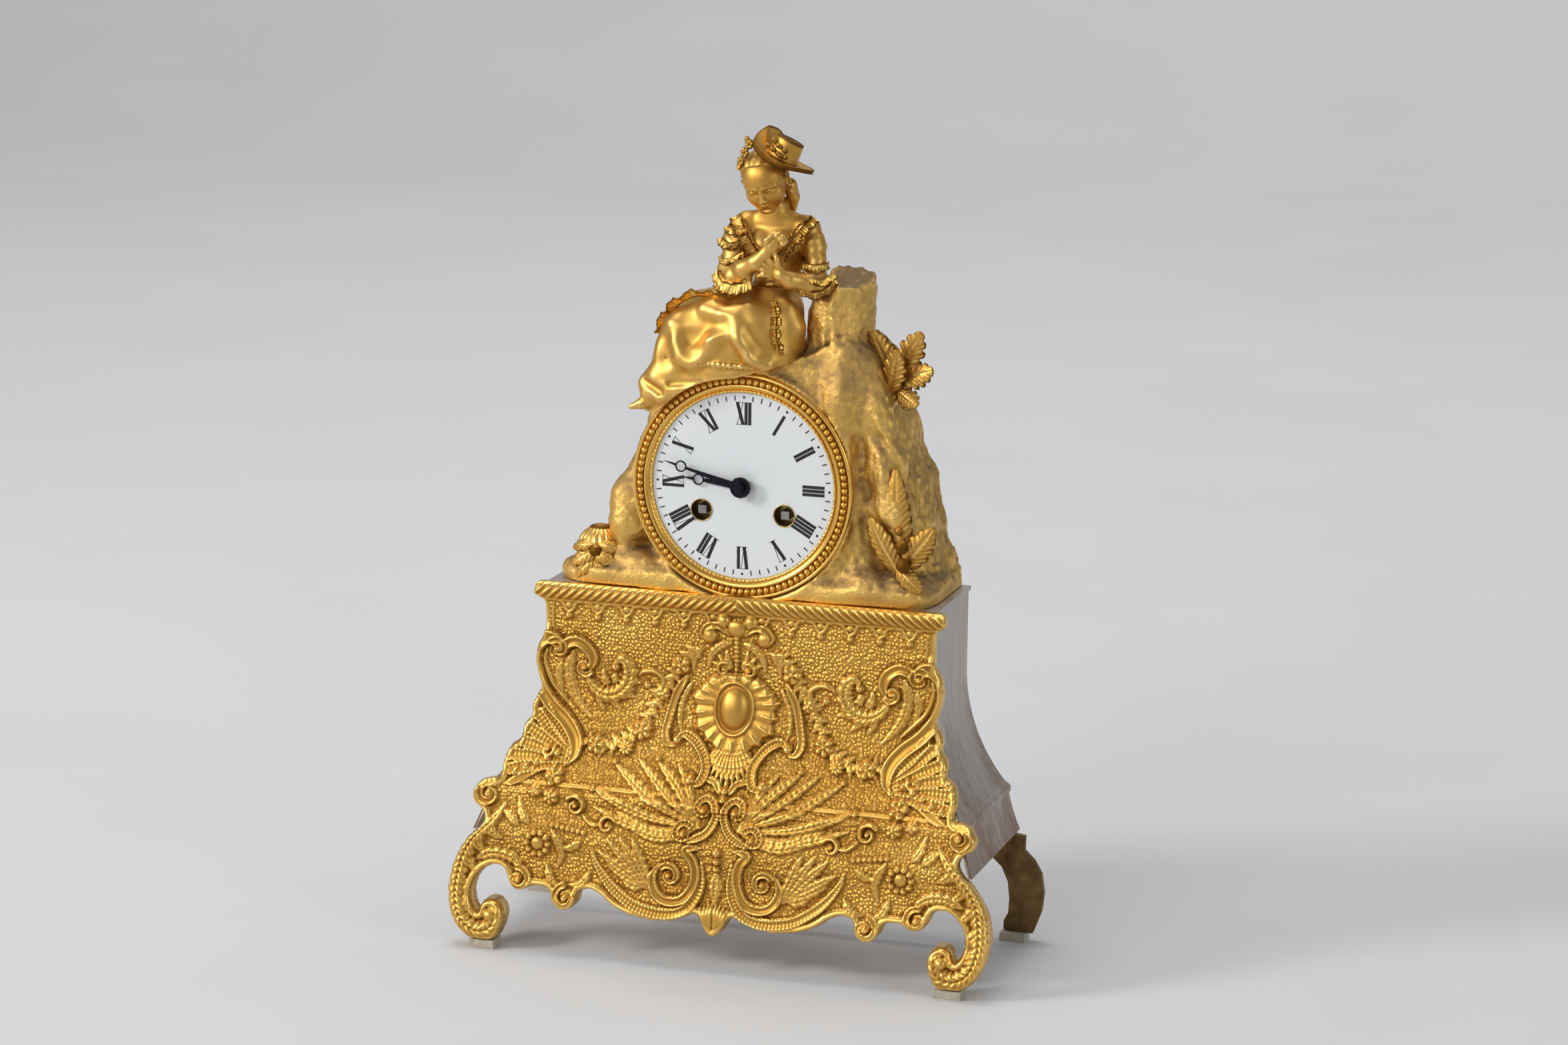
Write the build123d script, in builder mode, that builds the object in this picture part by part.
"""A gilt figural mantel clock: a seated girl on a rockwork mound with a round dial, over a flared base on scroll feet.

X runs across the front, Y from the front to the back, Z up. The origin lies on the table under the clock's middle.
All sizes are millimetres.
"""

import math
import os

from build123d import *

# Base, seen from the front and from the side
base_half_width = 92.5
base_front = -17.5
base_back = 43.5
base_top = 168.5
flare_start = 130.0
ridge_height = 74.8
ridge_flare = 21.5
ridge_band = 1.8
flare_steps = 2
skirt_bottom = 54.2
skirt_flare = 27.3
sheet = 1.6
top_sheet = 2.0
top_lip = 0.9
pendulum_slot_width = 26.0
pendulum_slot_depth = 11.0

# Front casting
casting = 3.0
plate_half_width = 93.3
foot_sweep = 8.0
foot_sweep_start = 47.0
foot_thickness = 11.0
foot_top = 62.0
foot_inner = 99.0
felt = 4.0
ear_reach = 10.2
front_half_span = base_half_width + skirt_flare + ear_reach
front_reach = 58.0
rope_radius = 3.5
rope_half_length = 98.4
rope_flats = 12
boss_flats = 6
oval_flats = 12
scroll_relief = 3.2
low_relief = 1.8
high_relief = 4.6

# Rear feet and rail
rear_foot_sheet = 3.0
rail_height = 14.0
rail_sheet = 2.0

# Rockwork casting, with the seat just above the drum that holds the dial
rock_wall = 4.0
rock_band = 7.0
seat_slope = 16.0
stump_left = 23.0
stump_right = 56.0
stump_front = -2.0
stump_back = 28.0
stump_rise = 44.5
stump_sides = 12
drum_radius = 50.6
drum_cover = 3.5
mound_rise = 14.5
figure_height = 106.5

# Dial opening and dial
dial_height = 219.4
dial_front = -11.4
dial_sheet = 1.0
dial_radius = 44.0
bezel_radius = 50.6
bezel_rise = 4.6
bore_radius = 44.5
bead_ring = 47.4
bead_width = 3.0
bead_rise_share = 0.78
ring_flats = 40
winding_hole = 5.0
winding_across = 19.8
winding_drop = 12.5
square_width = 3.8
bearing_share = 0.72

# Movement between its plates
plate_radius = 41.5
plate_sheet = 2.0
front_plate_face = -3.4
plate_gap = 30.0
pillar_radius = 2.4
pillar_ring = 37.5
running = 0.05
end_shake = 0.2
pivot_radius = 0.6
arbor_radius = 0.9
slim_pivot = 0.35
slim_arbor = 0.5

# Hands
hand_sheet = 0.5
minute_reach = 39.0
hour_reach = 29.5
minute_ring_place = 29.8
hour_ring_place = 21.1
hand_ring = 2.7
hand_ring_hole = 2.05
hand_flats = 16
hour_hub_share = 1.6
minute_angle = 285.0
hour_angle = 275.0

# Pendulum, hammer and bell
pendulum_pivot_rise = 37.0
pendulum_plane = 36.0
bob_drop = 130.5
bob_radius = 18.0
bob_thickness = 6.0
bob_flats = 16
rod_spare = 10.0
rod_radius = 0.8
bell_radius = 32.0
bell_rim = 38.0
bell_crown = 52.0
bell_wall = 1.5
bell_flats = 20

# Round parts below each radius are drawn with this many flats
flats = ((1.6, 6), (2.6, 8), (6.0, 12), (13.0, 18), (20.0, 24), (60.0, 40))

overrun = 1.0

seat_height = dial_height + drum_radius + drum_cover
stump_top = seat_height + stump_rise
mound_height = seat_height - base_top + mound_rise


def front_view(y, x=0.0, z=0.0):
    """A sketch plane seen from the front at depth y: its x is X, its y is Z, extruding to the viewer."""
    return Plane(origin=(x, y, z), x_dir=(1, 0, 0), z_dir=(0, -1, 0))


def write(part, name):
    """Label a finished piece and write it as one file."""
    part.label = name
    export_step(part, "parts/" + name + ".step")


os.makedirs("parts", exist_ok=True)

# Flare of the base

flare_radius = (ridge_flare**2 + (flare_start - ridge_height) ** 2) / (2 * ridge_flare)
skirt_top = ridge_height - ridge_band
skirt_out = skirt_flare - ridge_flare
skirt_radius = (skirt_out**2 + (skirt_top - skirt_bottom) ** 2) / (2 * skirt_out)


def flare(z):
    """How far the base stands out at height z, past its straight upper part."""
    if z >= flare_start:
        return 0.0
    if z >= ridge_height:
        return flare_radius - math.sqrt(flare_radius**2 - (flare_start - z) ** 2)
    if z >= skirt_top:
        return ridge_flare
    if z >= skirt_bottom:
        return ridge_flare + skirt_radius - math.sqrt(skirt_radius**2 - (skirt_top - z) ** 2)
    return skirt_flare


def flare_line(at, sense, top, bottom):
    """The flare in short facets, from the top down: at is the straight part, sense the outward direction."""
    upper = [flare_start + (ridge_height - flare_start) * i / flare_steps for i in range(flare_steps + 1)]
    lower = [skirt_top + (skirt_bottom - skirt_top) * i / flare_steps for i in range(flare_steps + 1)]
    heights = [top] + upper + lower
    if bottom < skirt_bottom:
        heights.append(bottom)
    Polyline(*[(at + sense * flare(z), z) for z in heights])


def relief_band(rise, depth, half_length, bottom=0.0):
    """The swept slab of the front: from rise in front of the plate's face to depth behind it."""
    with BuildPart() as slab:
        with BuildSketch(Plane.YZ.offset(-half_length)):
            with BuildLine():
                flare_line(base_front - rise, -1, base_top, bottom)
                flare_line(base_front + depth, -1, base_top, bottom)
                Line((base_front - rise, base_top), (base_front + depth, base_top))
                Line(
                    (base_front - rise - skirt_flare, bottom),
                    (base_front + depth - skirt_flare, bottom),
                )
            make_face()
        extrude(amount=2 * half_length)
    return slab.part


# Outline of the front casting's right half, as shares of the half span and of the base's height

scroll_bulge_shares = [
    (0.718, 0.855), (0.742, 0.828), (0.756, 0.777), (0.740, 0.730), (0.726, 0.697),
]
upper_scallop_shares = [
    (0.726, 0.697), (0.755, 0.671), (0.764, 0.641), (0.750, 0.629),
]
middle_scallop_shares = [
    (0.750, 0.629), (0.787, 0.599), (0.787, 0.576), (0.773, 0.567),
]
lower_scallop_shares = [
    (0.773, 0.567), (0.823, 0.546), (0.838, 0.510), (0.838, 0.487), (0.825, 0.463),
]
ear_shares = [
    (0.825, 0.463), (0.862, 0.462), (0.908, 0.454), (0.935, 0.418), (0.919, 0.392),
    (0.881, 0.380),
]
leg_shares = [
    (0.881, 0.380), (0.869, 0.356), (0.900, 0.320), (0.950, 0.282), (0.988, 0.226),
    (1.000, 0.160), (0.988, 0.101), (0.958, 0.056), (0.908, 0.022), (0.862, 0.018),
    (0.815, 0.024), (0.785, 0.071), (0.779, 0.107), (0.804, 0.135), (0.842, 0.142),
    (0.871, 0.125), (0.872, 0.101), (0.858, 0.088),
]
arch_shares = [
    (0.858, 0.088), (0.881, 0.092), (0.905, 0.116), (0.915, 0.154), (0.902, 0.190),
    (0.869, 0.220), (0.829, 0.234), (0.791, 0.227),
]
small_scroll_shares = [
    (0.791, 0.227), (0.779, 0.205), (0.765, 0.181), (0.738, 0.171), (0.708, 0.174),
    (0.688, 0.186),
]
pendant_shares = [
    (0.615, 0.186), (0.608, 0.160), (0.588, 0.136), (0.558, 0.129), (0.527, 0.136),
    (0.510, 0.160), (0.512, 0.184),
]
skirt_edge_shares = [
    (0.512, 0.184), (0.469, 0.193), (0.423, 0.181), (0.385, 0.157), (0.323, 0.136),
    (0.231, 0.126), (0.154, 0.129), (0.092, 0.148), (0.063, 0.163),
]
tip_shares = [
    (0.063, 0.163), (0.050, 0.142), (0.025, 0.110), (0.000, 0.095),
]

# Ornament of the right half: for each piece the middle line and the width along it, as shares alike

high_ribbons = {
    "side_scroll": (
        [
            (0.658, 0.801), (0.673, 0.834), (0.708, 0.837), (0.735, 0.810), (0.735, 0.772),
            (0.712, 0.730), (0.665, 0.691), (0.612, 0.653), (0.577, 0.611), (0.569, 0.570),
            (0.588, 0.537),
        ],
        [0.012, 0.023, 0.031, 0.035, 0.038, 0.038, 0.038, 0.038, 0.035, 0.031, 0.015],
    ),
    "acanthus_hook": (
        [
            (0.577, 0.754), (0.554, 0.718), (0.508, 0.703), (0.462, 0.709), (0.423, 0.733),
            (0.398, 0.763), (0.404, 0.792), (0.435, 0.804), (0.462, 0.783),
        ],
        [0.015, 0.031, 0.038, 0.046, 0.054, 0.046, 0.038, 0.031, 0.012],
    ),
    "plume_c_scroll": (
        [
            (0.215, 0.582), (0.200, 0.599), (0.154, 0.608), (0.108, 0.591), (0.083, 0.552),
            (0.083, 0.516), (0.108, 0.490), (0.142, 0.496),
        ],
        [0.023, 0.031, 0.035, 0.038, 0.038, 0.035, 0.027, 0.015],
    ),
    "skirt_rim": (
        [
            (0.054, 0.315), (0.058, 0.279), (0.060, 0.226), (0.092, 0.178), (0.154, 0.151),
            (0.246, 0.147), (0.331, 0.160), (0.392, 0.187), (0.438, 0.220), (0.469, 0.261),
        ],
        [0.031, 0.031, 0.035, 0.038, 0.042, 0.042, 0.038, 0.035, 0.031, 0.015],
    ),
    "leg_leaf": (
        [
            (0.800, 0.392), (0.846, 0.338), (0.908, 0.297), (0.948, 0.249), (0.964, 0.190),
            (0.962, 0.131), (0.931, 0.074), (0.877, 0.049), (0.827, 0.065), (0.812, 0.098),
            (0.835, 0.119),
        ],
        [0.015, 0.038, 0.046, 0.050, 0.050, 0.050, 0.046, 0.042, 0.038, 0.035, 0.023],
    ),
}
low_ribbons = {
    "garland": (
        [(0.112, 0.884), (0.200, 0.807), (0.265, 0.724), (0.335, 0.638), (0.442, 0.585), (0.550, 0.561)],
        [0.046, 0.054, 0.050, 0.058, 0.062, 0.038],
    ),
    "wing_rib_three": (
        [
            (0.631, 0.546), (0.723, 0.549), (0.808, 0.510),
        ],
        [0.015, 0.038, 0.031],
    ),
}


def on_front(shares):
    """Points of the front in millimetres, from shares of its half span and height."""
    return [(x * front_half_span, z * base_top) for x, z in shares]


def ribbon_sides(path, widths):
    """The two sides of a ribbon that follows a path with a width at each of its points."""
    left, right = [], []
    for i, (x, z) in enumerate(path):
        x0, z0 = path[max(i - 1, 0)]
        x1, z1 = path[min(i + 1, len(path) - 1)]
        run = math.hypot(x1 - x0, z1 - z0)
        across = (-(z1 - z0) / run * widths[i] / 2, (x1 - x0) / run * widths[i] / 2)
        left.append((x + across[0], z + across[1]))
        right.append((x - across[0], z - across[1]))
    return left, right


def ribbons(table, rise, depth):
    """Raised ribbons on both halves of the front, standing rise proud of its face."""
    with BuildPart() as raised:
        for shares, width_shares in table.values():
            path = on_front(shares)
            left, right = ribbon_sides(path, [w * front_half_span for w in width_shares])
            with BuildSketch(front_view(0)):
                with BuildLine():
                    Polyline(*left)
                    Polyline(*right)
                    Line(left[0], right[0])
                    Line(left[-1], right[-1])
                make_face()
            extrude(amount=front_reach)
        mirror(about=Plane.YZ)
        add(relief_band(rise, depth, front_half_span + overrun), mode=Mode.INTERSECT)
    return raised.part


# Front casting with its two scroll feet

tab_count = 12
tab_pitch = 14.3
tab_width = 7.0
tab_drop = 3.6
frieze_height = 5.0
ball_radius = 1.5
ball_drop = 7.4
cabochon_half_width = 7.4
cabochon_half_height = 11.0
cabochon_rise = 7.0
cabochon_height = 117.5
cabochon_step_share = 0.7
shell_reach = 21.0
shell_valley = 17.0
shell_petals = 10
plume_bottom = 88.0
boss_radius = 2.6
bead_high = 54.5
bead_low = 48.0
centre_bead = 2.0
foot_eye = (0.846, 0.110)
ear_eye = (0.882, 0.428)

with BuildPart() as front_plate:
    with BuildSketch(front_view(0)):
        with BuildLine():
            Line((0, base_top), (plate_half_width, base_top))
            Line((plate_half_width, base_top), on_front(scroll_bulge_shares)[0])
            for shares in (
                scroll_bulge_shares,
                upper_scallop_shares,
                middle_scallop_shares,
                lower_scallop_shares,
                ear_shares,
                leg_shares,
                arch_shares,
                small_scroll_shares,
                pendant_shares,
                skirt_edge_shares,
                tip_shares,
            ):
                Polyline(*on_front(shares))
            Line(on_front(small_scroll_shares)[-1], on_front(pendant_shares)[0])
            Line(on_front(tip_shares)[-1], (0, base_top))
        make_face()
        mirror(about=Plane.YZ)
    blank = extrude(amount=front_reach, mode=Mode.PRIVATE)
    add(blank & relief_band(0, casting, front_half_span + overrun))
    # The scroll feet sweep forward and are deeper than the plate
    with BuildSketch(Plane.YZ.offset(-front_half_span)):
        with BuildLine():
            Polyline(
                (base_front - flare(foot_top), foot_top),
                (base_front - skirt_flare, foot_sweep_start),
                (base_front - skirt_flare - foot_sweep, felt),
                (base_front - skirt_flare - foot_sweep + foot_thickness, felt),
                (base_front - skirt_flare + foot_thickness / 2, foot_sweep_start),
                (base_front - flare(foot_top) + casting, foot_top),
                close=True,
            )
        make_face()
    sweep_band = extrude(amount=2 * front_half_span, mode=Mode.PRIVATE)
    with Locations((0, 0, foot_top)):
        between_feet = Box(2 * foot_inner, 4 * front_reach, 4 * foot_top, mode=Mode.PRIVATE)
    add(blank & sweep_band - between_feet)
    # The rope moulding, half round with round ends
    with BuildSketch(Plane.YZ.offset(-rope_half_length)):
        with Locations((base_front, base_top - rope_radius)):
            RegularPolygon(rope_radius, rope_flats)
        with Locations((base_front + casting + rope_radius, base_top)):
            Rectangle(2 * rope_radius, 4 * rope_radius, mode=Mode.SUBTRACT)
    extrude(amount=2 * rope_half_length)
    # The frieze with its lambrequin tabs
    with BuildSketch(front_view(0)):
        with Locations((0, base_top - 2 * rope_radius - frieze_height / 2)):
            Rectangle(2 * (plate_half_width - scroll_relief), frieze_height)
        with Locations((0, base_top - 2 * rope_radius - frieze_height - tab_drop / 2 + ball_radius / 2)):
            with GridLocations(tab_pitch, 0, tab_count, 1):
                Trapezoid(tab_width, tab_drop, 60, rotation=180)
    frieze = extrude(amount=front_reach, mode=Mode.PRIVATE)
    add(frieze & relief_band(low_relief / 2, casting / 2, plate_half_width))
    # The pendent balls, the eyes of the scrolls and the two beads over the tip
    with BuildSketch(front_view(0)):
        with Locations((0, base_top - 2 * rope_radius - ball_drop - ball_radius)):
            with GridLocations(tab_pitch, 0, tab_count, 1):
                RegularPolygon(ball_radius, boss_flats)
        with Locations((0, bead_high), (0, bead_low)):
            RegularPolygon(centre_bead, boss_flats)
        for share_x, share_z in (foot_eye, ear_eye):
            for side in (-1, 1):
                with Locations((side * share_x * front_half_span, share_z * base_top)):
                    RegularPolygon(boss_radius, boss_flats)
    bosses = extrude(amount=front_reach, mode=Mode.PRIVATE)
    add(bosses & relief_band(high_relief, casting / 2, front_half_span))
    # Scrolls, leaves, reeds and wing ribs
    add(ribbons(high_ribbons, scroll_relief, casting / 2))
    add(ribbons(low_ribbons, low_relief, casting / 2))
    # The radiating shell with its plume, and the oval cabochon
    with BuildSketch(front_view(0)):
        with BuildLine():
            rays = 2 * shell_petals
            Polyline(
                *[
                    (
                        (shell_reach if i % 2 == 0 else shell_valley) * math.sin(math.pi * i / shell_petals),
                        cabochon_height
                        + (shell_reach if i % 2 == 0 else shell_valley) * math.cos(math.pi * i / shell_petals),
                    )
                    for i in range(rays)
                ],
                close=True,
            )
        make_face()
        with BuildLine():
            Polyline(
                (-shell_valley / 2, cabochon_height - shell_valley / 2),
                (shell_valley / 2, cabochon_height - shell_valley / 2),
                (shell_valley / 3, plume_bottom),
                (-shell_valley / 3, plume_bottom),
                close=True,
            )
        make_face()
    shell = extrude(amount=front_reach, mode=Mode.PRIVATE)
    add(shell & relief_band(scroll_relief, casting / 2, shell_reach + overrun))
    for share, rise in ((1.0, cabochon_rise / 2), (cabochon_step_share, cabochon_rise)):
        with BuildSketch(front_view(0)):
            with BuildLine():
                Polyline(
                    *[
                        (
                            share * cabochon_half_width * math.cos(2 * math.pi * i / oval_flats),
                            cabochon_height + share * cabochon_half_height * math.sin(2 * math.pi * i / oval_flats),
                        )
                        for i in range(oval_flats)
                    ],
                    close=True,
                )
            make_face()
        oval = extrude(amount=front_reach, mode=Mode.PRIVATE)
        add(oval & relief_band(rise, casting / 2, shell_reach))
    # The feet are cut flat on their felts
    with Locations((0, 0, felt - front_reach)):
        Box(3 * front_half_span, 3 * front_reach, 2 * front_reach, mode=Mode.SUBTRACT)
write(front_plate.part, "front_plate")

# Sheet sides, top and rear rail of the base


def base_space(at, top, bottom):
    """The room between the two sides of the base, whose straight part lies at half width at."""
    with BuildPart() as space:
        with BuildSketch(front_view(base_back)):
            with BuildLine():
                flare_line(at, 1, top, bottom)
                flare_line(-at, -1, top, bottom)
                Line((-at, top), (at, top))
                Line((-at - skirt_flare, bottom), (at + skirt_flare, bottom))
            make_face()
        extrude(amount=base_back + front_reach)
    return space.part


def before_casting(clear):
    """All the room in front of the casting's back, less clear."""
    with BuildPart() as room:
        with BuildSketch(Plane.YZ.offset(-front_half_span)):
            with BuildLine():
                flare_line(base_front + casting - clear, -1, base_top, 0)
                Line((base_front + casting - clear, base_top), (-2 * front_reach, base_top))
                Line((-2 * front_reach, base_top), (-2 * front_reach, 0))
                Line((-2 * front_reach, 0), (base_front + casting - clear - skirt_flare, 0))
            make_face()
        extrude(amount=2 * front_half_span)
    return room.part


side_top = base_top - top_sheet
casting_room = before_casting(0)
inner_space = base_space(base_half_width - sheet, side_top, skirt_bottom)
for side, side_name in ((-1, "left"), (1, "right")):
    with BuildPart() as side_panel:
        add(base_space(base_half_width, side_top, skirt_bottom))
        add(inner_space, mode=Mode.SUBTRACT)
        add(casting_room, mode=Mode.SUBTRACT)
        with Locations((-side * front_reach * 2, 0, side_top / 2)):
            Box(4 * front_reach, 4 * front_reach, 2 * base_top, mode=Mode.SUBTRACT)
    write(side_panel.part, "side_panel_" + side_name)

top_half_width = base_half_width + top_lip
top_front = base_front + casting
top_depth = base_back + top_lip - top_front
slot_back = base_back - top_sheet
with BuildPart() as base_top_plate:
    with BuildSketch(Plane.XY.offset(side_top)):
        with Locations((0, top_front + top_depth / 2)):
            Rectangle(2 * top_half_width, top_depth)
        with Locations((0, slot_back - pendulum_slot_depth / 2)):
            Rectangle(pendulum_slot_width, pendulum_slot_depth, mode=Mode.SUBTRACT)
    extrude(amount=top_sheet)
write(base_top_plate.part, "base_top_plate")

with BuildPart() as rear_rail:
    with Locations((0, base_back - rail_sheet / 2, skirt_bottom + rail_height / 2)):
        Box(4 * base_half_width, rail_sheet, rail_height)
    add(inner_space, mode=Mode.INTERSECT)
write(rear_rail.part, "rear_rail")

# Flat rear feet and the felts under all four

rear_foot_shares = [
    (0.900, 0.306), (0.941, 0.301), (0.940, 0.259), (0.975, 0.234), (1.004, 0.196),
    (1.015, 0.142), (1.008, 0.089), (0.977, 0.024), (0.915, 0.018), (0.869, 0.030),
    (0.869, 0.053), (0.885, 0.077), (0.888, 0.119), (0.881, 0.166), (0.857, 0.208),
    (0.819, 0.234), (0.769, 0.261), (0.800, 0.306), (0.900, 0.330),
]
felt_width = 12.0
felt_depth = 10.0
front_foot_share = 0.8615
rear_foot_share = 0.9077
front_felt_place = front_foot_share * front_half_span
rear_felt_place = rear_foot_share * front_half_span
front_felt_depth = base_front - skirt_flare - foot_sweep + felt_depth / 2

for side, side_name in ((-1, "left"), (1, "right")):
    with BuildPart() as rear_foot:
        with BuildSketch(front_view(base_back + rear_foot_sheet)):
            with BuildLine():
                Polyline(*[(side * x, z) for x, z in on_front(rear_foot_shares)], close=True)
            make_face()
        extrude(amount=rear_foot_sheet)
        with Locations((0, base_back, felt - base_top)):
            Box(4 * base_half_width, base_back, 2 * base_top, mode=Mode.SUBTRACT)
    write(rear_foot.part, "rear_foot_" + side_name)

with BuildPart() as felt_pads:
    for side in (-1, 1):
        with Locations((side * front_felt_place, front_felt_depth, felt / 2)):
            Box(felt_width, felt_depth, felt)
        with Locations((side * rear_felt_place, base_back + rear_foot_sheet / 2, felt / 2)):
            Box(felt_width, felt_depth, felt)
write(felt_pads.part, "felt_pads")

# Rockwork mound with its tree stump, hollow and open below, bored for the movement

# Each level: height over the base, left and right reach, front and back, as shares of mound and base
mound_shares = [
    (0.0000, 0.973, 0.973, -0.345, 0.989),
    (0.0586, 0.973, 0.962, -0.345, 0.989),
    (0.0837, 0.908, 0.941, -0.276, 0.989),
    (0.1046, 0.659, 0.930, -0.276, 0.989),
    (0.2301, 0.649, 0.876, -0.276, 0.989),
    (0.3305, 0.703, 0.859, -0.276, 0.989),
    (0.4226, 0.649, 0.832, -0.276, 0.989),
    (0.5983, 0.584, 0.757, -0.276, 0.989),
    (0.7406, 0.562, 0.692, -0.253, 0.989),
    (0.8326, 0.541, 0.659, -0.253, 0.989),
    (0.9665, 0.497, 0.616, -0.184, 0.736),
]
mound_levels = [
    (
        base_top + height * mound_height,
        left * base_half_width,
        right * base_half_width,
        front * base_back,
        back * base_back,
    )
    for height, left, right, front, back in mound_shares
]
mound_corner_shares = [
    (-1, 0.35), (-0.86, 0.1), (-0.5, 0), (0.5, 0), (0.86, 0.18), (1, 0.45), (0.97, 1), (-0.97, 1),
]
base_corner_shares = [
    (-1, 0.12), (-0.97, 0.01), (-0.5, 0), (0.5, 0), (0.97, 0.01), (1, 0.12), (1, 1), (-1, 1),
]


def mound(inset, levels):
    """The mound's body, every level drawn in by inset."""
    with BuildPart() as body:
        for height, left, right, front, back in levels:
            corners = base_corner_shares if height <= base_top + rock_band + running else mound_corner_shares
            with BuildSketch(Plane.XY.offset(height)):
                with BuildLine():
                    Polyline(
                        *[
                            (
                                share_x * ((left if share_x < 0 else right) - inset),
                                front + inset + share_y * (back - front - 2 * inset),
                            )
                            for share_x, share_y in corners
                        ],
                        close=True,
                    )
                make_face()
        loft(ruled=True)
    return body.part


def stack(levels, sides, fold=0.0):
    """A ruled form through level polygons: height, middle x and y, half width and half depth of each."""
    with BuildPart() as form:
        for height, x, y, half_width, half_depth in levels:
            with BuildSketch(Plane.XY.offset(height)):
                with BuildLine():
                    points = []
                    for i in range(sides):
                        turn = 2 * math.pi * i / sides
                        share = 1 - fold * (i % 2)
                        points.append(
                            (x + share * half_width * math.cos(turn), y + share * half_depth * math.sin(turn))
                        )
                    Polyline(*points, close=True)
                make_face()
        loft(ruled=True)
    return form.part


def disc(place, radius, front, back, mode=Mode.ADD):
    """A round bar, plate or hole along Y with few flats, its place measured from the dial's centre."""
    sides = next((count for limit, count in flats if radius < limit), None)
    with BuildSketch(front_view(back, place[0], dial_height + place[1])) as section:
        if sides is None:
            Circle(radius)
        elif mode == Mode.SUBTRACT:
            RegularPolygon(radius, sides, major_radius=False)
        else:
            RegularPolygon(radius, sides)
    extrude(section.sketch, amount=back - front, mode=mode)


centre = (0.0, 0.0)
seat_front = mound_levels[2][3]
seat_back = mound_levels[2][4]
stump_middle = (stump_left + stump_right) / 2
stump_half = (stump_right - stump_left) / 2
stump_depth_middle = (stump_front + stump_back) / 2
stump_half_depth = (stump_back - stump_front) / 2
with BuildPart() as rockwork:
    add(mound(0, mound_levels))
    disc(centre, drum_radius, seat_front, seat_back)
    # The seat slopes down to the left, under the figure
    with BuildSketch(front_view(3 * base_back)):
        with BuildLine():
            rise = math.tan(math.radians(seat_slope))
            Polyline(
                (-base_half_width, seat_height - base_half_width * rise),
                (stump_left, seat_height + stump_left * rise),
                (stump_left, 2 * seat_height),
                (-base_half_width, 2 * seat_height),
                close=True,
            )
        make_face()
    extrude(amount=6 * base_back, mode=Mode.SUBTRACT)
    neck_middle = stump_middle + rock_wall
    neck_half = stump_half - rock_wall
    neck_half_depth = stump_half_depth - rock_wall
    stump_levels = [
        (seat_height - rock_band, stump_middle, stump_depth_middle, stump_half + rock_wall, stump_half_depth),
        (seat_height + 2 * rock_band, stump_middle, stump_depth_middle, stump_half, stump_half_depth),
        (stump_top - rock_band, neck_middle, stump_depth_middle, neck_half, stump_half_depth),
        (stump_top, neck_middle, stump_depth_middle, neck_half, neck_half_depth),
    ]
    add(stack(stump_levels, stump_sides))
    cavity_levels = [(base_top - overrun, *mound_levels[0][1:])]
    cavity_levels += [(height - rock_wall, *reaches) for height, *reaches in mound_levels[1:8]]
    add(mound(rock_wall, cavity_levels), mode=Mode.SUBTRACT)
    disc(centre, bore_radius, seat_front - overrun, seat_back + overrun, Mode.SUBTRACT)
    disc(centre, drum_radius + running, 2 * seat_front, seat_front, Mode.SUBTRACT)
write(rockwork.part, "rockwork")

# Leaf sprays and the gourd on the rock


leaf_edge_shares = [(0.0, 0.0), (0.3, 1.0), (0.7, 0.77), (1.0, 0.0)]


def on_rock(share_x, share_z):
    """A place on the rock, from shares of the base's half width and of the mound's height."""
    return (share_x * base_half_width, base_top + share_z * mound_height)


def leaf(base, tip, width, back, thickness):
    """One pointed leaf seen from the front, from base to tip, lying between back and back less thickness."""
    length = math.hypot(tip[0] - base[0], tip[1] - base[1])
    along = ((tip[0] - base[0]) / length, 0, (tip[1] - base[1]) / length)
    with BuildSketch(Plane(origin=(base[0], back, base[1]), x_dir=along, z_dir=(0, -1, 0))) as blade:
        with BuildLine():
            for half_width in (-width / 2, width / 2):
                Polyline(*[(place * length, share * half_width) for place, share in leaf_edge_shares])
        make_face()
    extrude(blade.sketch, amount=thickness)


leaf_sheet = 2.0
upper_leaf_shares = [
    ((0.6919, 0.8494), (0.6216, 1.0335), 0.097),
    ((0.7027, 0.8661), (0.8649, 1.0418), 0.108),
    ((0.7027, 0.8494), (0.9081, 0.8912), 0.108),
    ((0.7027, 0.8159), (0.8000, 0.7824), 0.086),
]
upper_root_share = (0.7135, 0.8326)
upper_root_height = 14.0
upper_leaf_back = stump_depth_middle - 1.0
with BuildPart() as upper_leaf_spray:
    for base_share, tip_share, width_share in upper_leaf_shares:
        leaf(
            on_rock(*base_share), on_rock(*tip_share), width_share * base_half_width, upper_leaf_back, leaf_sheet
        )
    root_x, root_z = on_rock(*upper_root_share)
    with Locations((root_x, upper_leaf_back - leaf_sheet / 2, root_z)):
        Box(2 * leaf_sheet, leaf_sheet, upper_root_height)
    add(rockwork.part, mode=Mode.SUBTRACT)
write(upper_leaf_spray.part, "upper_leaf_spray")

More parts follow.
